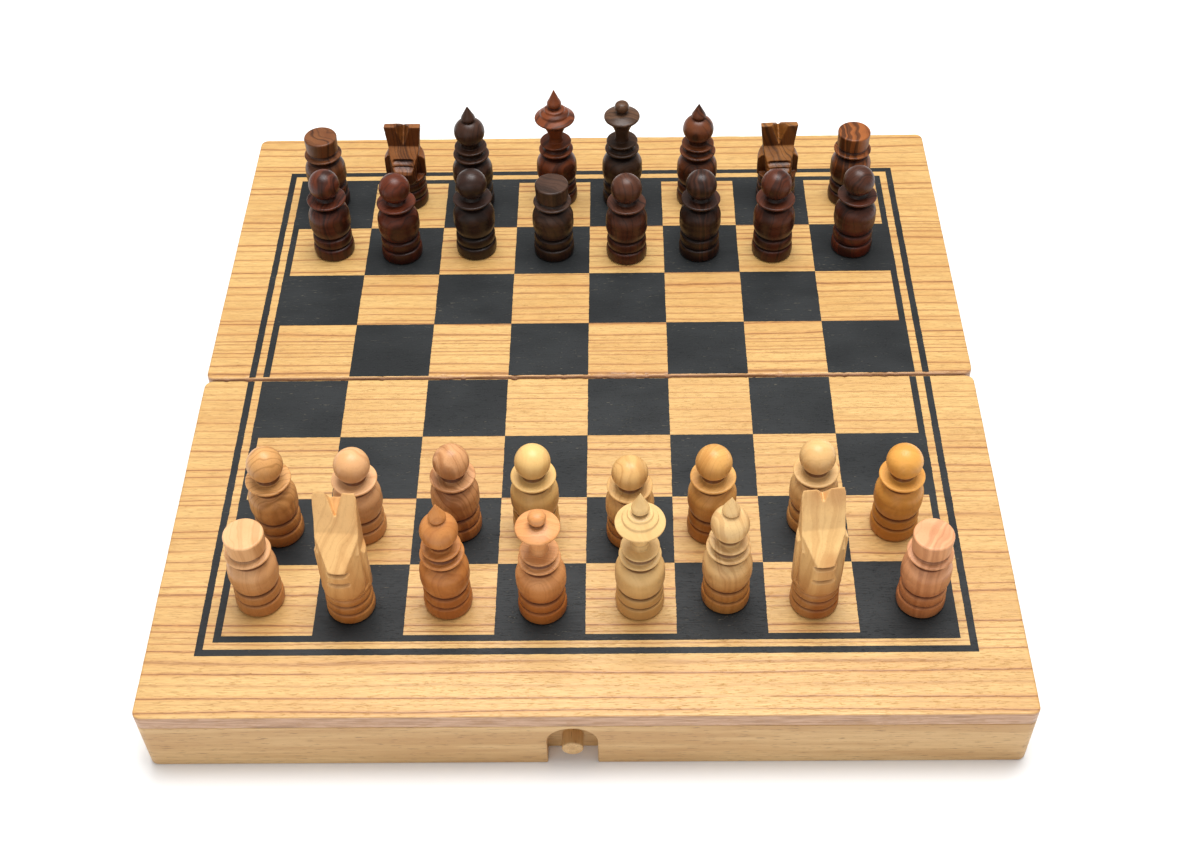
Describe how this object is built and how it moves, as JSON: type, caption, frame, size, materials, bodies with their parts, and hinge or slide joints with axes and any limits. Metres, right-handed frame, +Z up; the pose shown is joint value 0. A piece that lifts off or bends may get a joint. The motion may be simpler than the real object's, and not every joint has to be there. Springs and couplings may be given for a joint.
{
  "type": "folding chess set",
  "caption": "Folding wooden chess box lying open as a board, with turned and carved wooden men that lift off, brass hinges and a peg in a finger notch.",
  "frame": {"origin": "on the table under the middle of the opened board, at the lowest point of the hinge knuckles", "axes": "+X to the right along the ranks and along the hinge axis, +Y from the light men to the dark men, +Z up"},
  "size_m": [0.192, 0.1956, 0.0577],
  "materials": {
    "veneer": "satin lacquer over striped straw-coloured veneer",
    "ink": "matt black printing ink",
    "rail_wood": "thin satin lacquer over plain light hardwood",
    "peg_wood": "bare pale dowel",
    "brass": "rolled brass",
    "light_men": "waxed pale hardwood",
    "dark_men": "waxed dark rosewood"
  },
  "bodies": {
    "back_half": {"back_hinge_screws": "brass", "back_left_rail": "rail_wood", "back_outer_rail": "rail_wood", "back_peg": "peg_wood", "back_playing_panel": "veneer", "back_printed_squares": "ink", "back_right_rail": "rail_wood", "back_seam_rail": "rail_wood", "left_hinge_back_leaf": "brass", "left_hinge_pin": "brass", "right_hinge_back_leaf": "brass", "right_hinge_pin": "brass"},
    "front_half": {"front_hinge_screws": "brass", "front_left_rail": "rail_wood", "front_outer_rail": "rail_wood", "front_peg": "peg_wood", "front_playing_panel": "veneer", "front_printed_squares": "ink", "front_right_rail": "rail_wood", "front_seam_rail": "rail_wood", "left_hinge_front_leaf": "brass", "right_hinge_front_leaf": "brass"},
    "dark_bishop_c_body": {"dark_bishop_c": "dark_men"},
    "dark_bishop_f_body": {"dark_bishop_f": "dark_men"},
    "dark_king_d_body": {"dark_king_d": "dark_men"},
    "dark_knight_b_body": {"dark_knight_b": "dark_men"},
    "dark_knight_g_body": {"dark_knight_g": "dark_men"},
    "dark_pawn_a_body": {"dark_pawn_a": "dark_men"},
    "dark_pawn_b_body": {"dark_pawn_b": "dark_men"},
    "dark_pawn_c_body": {"dark_pawn_c": "dark_men"},
    "dark_pawn_e_body": {"dark_pawn_e": "dark_men"},
    "dark_pawn_f_body": {"dark_pawn_f": "dark_men"},
    "dark_pawn_g_body": {"dark_pawn_g": "dark_men"},
    "dark_pawn_h_body": {"dark_pawn_h": "dark_men"},
    "dark_queen_e_body": {"dark_queen_e": "dark_men"},
    "dark_rook_a_body": {"dark_rook_a": "dark_men"},
    "dark_rook_d_in_pawn_rank_body": {"dark_rook_d_in_pawn_rank": "dark_men"},
    "dark_rook_h_body": {"dark_rook_h": "dark_men"},
    "light_bishop_c_body": {"light_bishop_c": "light_men"},
    "light_bishop_f_body": {"light_bishop_f": "light_men"},
    "light_king_e_body": {"light_king_e": "light_men"},
    "light_knight_b_body": {"light_knight_b": "light_men"},
    "light_knight_g_body": {"light_knight_g": "light_men"},
    "light_pawn_a_body": {"light_pawn_a": "light_men"},
    "light_pawn_b_body": {"light_pawn_b": "light_men"},
    "light_pawn_c_body": {"light_pawn_c": "light_men"},
    "light_pawn_d_body": {"light_pawn_d": "light_men"},
    "light_pawn_e_body": {"light_pawn_e": "light_men"},
    "light_pawn_f_body": {"light_pawn_f": "light_men"},
    "light_pawn_g_body": {"light_pawn_g": "light_men"},
    "light_pawn_h_body": {"light_pawn_h": "light_men"},
    "light_queen_d_body": {"light_queen_d": "light_men"},
    "light_rook_a_body": {"light_rook_a": "light_men"},
    "light_rook_h_body": {"light_rook_h": "light_men"}
  },
  "joints": [
    {"name": "board_fold", "type": "hinge", "parent": "back_half", "child": "front_half", "pos_m": [0, 0, 0.0012], "axis": [1, 0, 0], "range_deg": [-1.4, 178.2]},
    {"name": "dark_bishop_c_lift", "type": "slide", "parent": "back_half", "child": "dark_bishop_c_body", "axis": [0, 0.0133, 0.9999], "range_m": [0, 0.05]},
    {"name": "dark_bishop_f_lift", "type": "slide", "parent": "back_half", "child": "dark_bishop_f_body", "axis": [0, 0.0133, 0.9999], "range_m": [0, 0.05]},
    {"name": "dark_king_d_lift", "type": "slide", "parent": "back_half", "child": "dark_king_d_body", "axis": [0, 0.0133, 0.9999], "range_m": [0, 0.05]},
    {"name": "dark_knight_b_lift", "type": "slide", "parent": "back_half", "child": "dark_knight_b_body", "axis": [0, 0.0133, 0.9999], "range_m": [0, 0.05]},
    {"name": "dark_knight_g_lift", "type": "slide", "parent": "back_half", "child": "dark_knight_g_body", "axis": [0, 0.0133, 0.9999], "range_m": [0, 0.05]},
    {"name": "dark_pawn_a_lift", "type": "slide", "parent": "back_half", "child": "dark_pawn_a_body", "axis": [0, 0.0133, 0.9999], "range_m": [0, 0.05]},
    {"name": "dark_pawn_b_lift", "type": "slide", "parent": "back_half", "child": "dark_pawn_b_body", "axis": [0, 0.0133, 0.9999], "range_m": [0, 0.05]},
    {"name": "dark_pawn_c_lift", "type": "slide", "parent": "back_half", "child": "dark_pawn_c_body", "axis": [0, 0.0133, 0.9999], "range_m": [0, 0.05]},
    {"name": "dark_pawn_e_lift", "type": "slide", "parent": "back_half", "child": "dark_pawn_e_body", "axis": [0, 0.0133, 0.9999], "range_m": [0, 0.05]},
    {"name": "dark_pawn_f_lift", "type": "slide", "parent": "back_half", "child": "dark_pawn_f_body", "axis": [0, 0.0133, 0.9999], "range_m": [0, 0.05]},
    {"name": "dark_pawn_g_lift", "type": "slide", "parent": "back_half", "child": "dark_pawn_g_body", "axis": [0, 0.0133, 0.9999], "range_m": [0, 0.05]},
    {"name": "dark_pawn_h_lift", "type": "slide", "parent": "back_half", "child": "dark_pawn_h_body", "axis": [0, 0.0133, 0.9999], "range_m": [0, 0.05]},
    {"name": "dark_queen_e_lift", "type": "slide", "parent": "back_half", "child": "dark_queen_e_body", "axis": [0, 0.0133, 0.9999], "range_m": [0, 0.05]},
    {"name": "dark_rook_a_lift", "type": "slide", "parent": "back_half", "child": "dark_rook_a_body", "axis": [0, 0.0133, 0.9999], "range_m": [0, 0.05]},
    {"name": "dark_rook_d_in_pawn_rank_lift", "type": "slide", "parent": "back_half", "child": "dark_rook_d_in_pawn_rank_body", "axis": [0, 0.0133, 0.9999], "range_m": [0, 0.05]},
    {"name": "dark_rook_h_lift", "type": "slide", "parent": "back_half", "child": "dark_rook_h_body", "axis": [0, 0.0133, 0.9999], "range_m": [0, 0.05]},
    {"name": "light_bishop_c_lift", "type": "slide", "parent": "front_half", "child": "light_bishop_c_body", "axis": [0, -0.0133, 0.9999], "range_m": [0, 0.05]},
    {"name": "light_bishop_f_lift", "type": "slide", "parent": "front_half", "child": "light_bishop_f_body", "axis": [0, -0.0133, 0.9999], "range_m": [0, 0.05]},
    {"name": "light_king_e_lift", "type": "slide", "parent": "front_half", "child": "light_king_e_body", "axis": [0, -0.0133, 0.9999], "range_m": [0, 0.05]},
    {"name": "light_knight_b_lift", "type": "slide", "parent": "front_half", "child": "light_knight_b_body", "axis": [0, -0.0133, 0.9999], "range_m": [0, 0.05]},
    {"name": "light_knight_g_lift", "type": "slide", "parent": "front_half", "child": "light_knight_g_body", "axis": [0, -0.0133, 0.9999], "range_m": [0, 0.05]},
    {"name": "light_pawn_a_lift", "type": "slide", "parent": "front_half", "child": "light_pawn_a_body", "axis": [0, -0.0133, 0.9999], "range_m": [0, 0.05]},
    {"name": "light_pawn_b_lift", "type": "slide", "parent": "front_half", "child": "light_pawn_b_body", "axis": [0, -0.0133, 0.9999], "range_m": [0, 0.05]},
    {"name": "light_pawn_c_lift", "type": "slide", "parent": "front_half", "child": "light_pawn_c_body", "axis": [0, -0.0133, 0.9999], "range_m": [0, 0.05]},
    {"name": "light_pawn_d_lift", "type": "slide", "parent": "front_half", "child": "light_pawn_d_body", "axis": [0, -0.0133, 0.9999], "range_m": [0, 0.05]},
    {"name": "light_pawn_e_lift", "type": "slide", "parent": "front_half", "child": "light_pawn_e_body", "axis": [0, -0.0133, 0.9999], "range_m": [0, 0.05]},
    {"name": "light_pawn_f_lift", "type": "slide", "parent": "front_half", "child": "light_pawn_f_body", "axis": [0, -0.0133, 0.9999], "range_m": [0, 0.05]},
    {"name": "light_pawn_g_lift", "type": "slide", "parent": "front_half", "child": "light_pawn_g_body", "axis": [0, -0.0133, 0.9999], "range_m": [0, 0.05]},
    {"name": "light_pawn_h_lift", "type": "slide", "parent": "front_half", "child": "light_pawn_h_body", "axis": [0, -0.0133, 0.9999], "range_m": [0, 0.05]},
    {"name": "light_queen_d_lift", "type": "slide", "parent": "front_half", "child": "light_queen_d_body", "axis": [0, -0.0133, 0.9999], "range_m": [0, 0.05]},
    {"name": "light_rook_a_lift", "type": "slide", "parent": "front_half", "child": "light_rook_a_body", "axis": [0, -0.0133, 0.9999], "range_m": [0, 0.05]},
    {"name": "light_rook_h_lift", "type": "slide", "parent": "front_half", "child": "light_rook_h_body", "axis": [0, -0.0133, 0.9999], "range_m": [0, 0.05]}
  ]
}
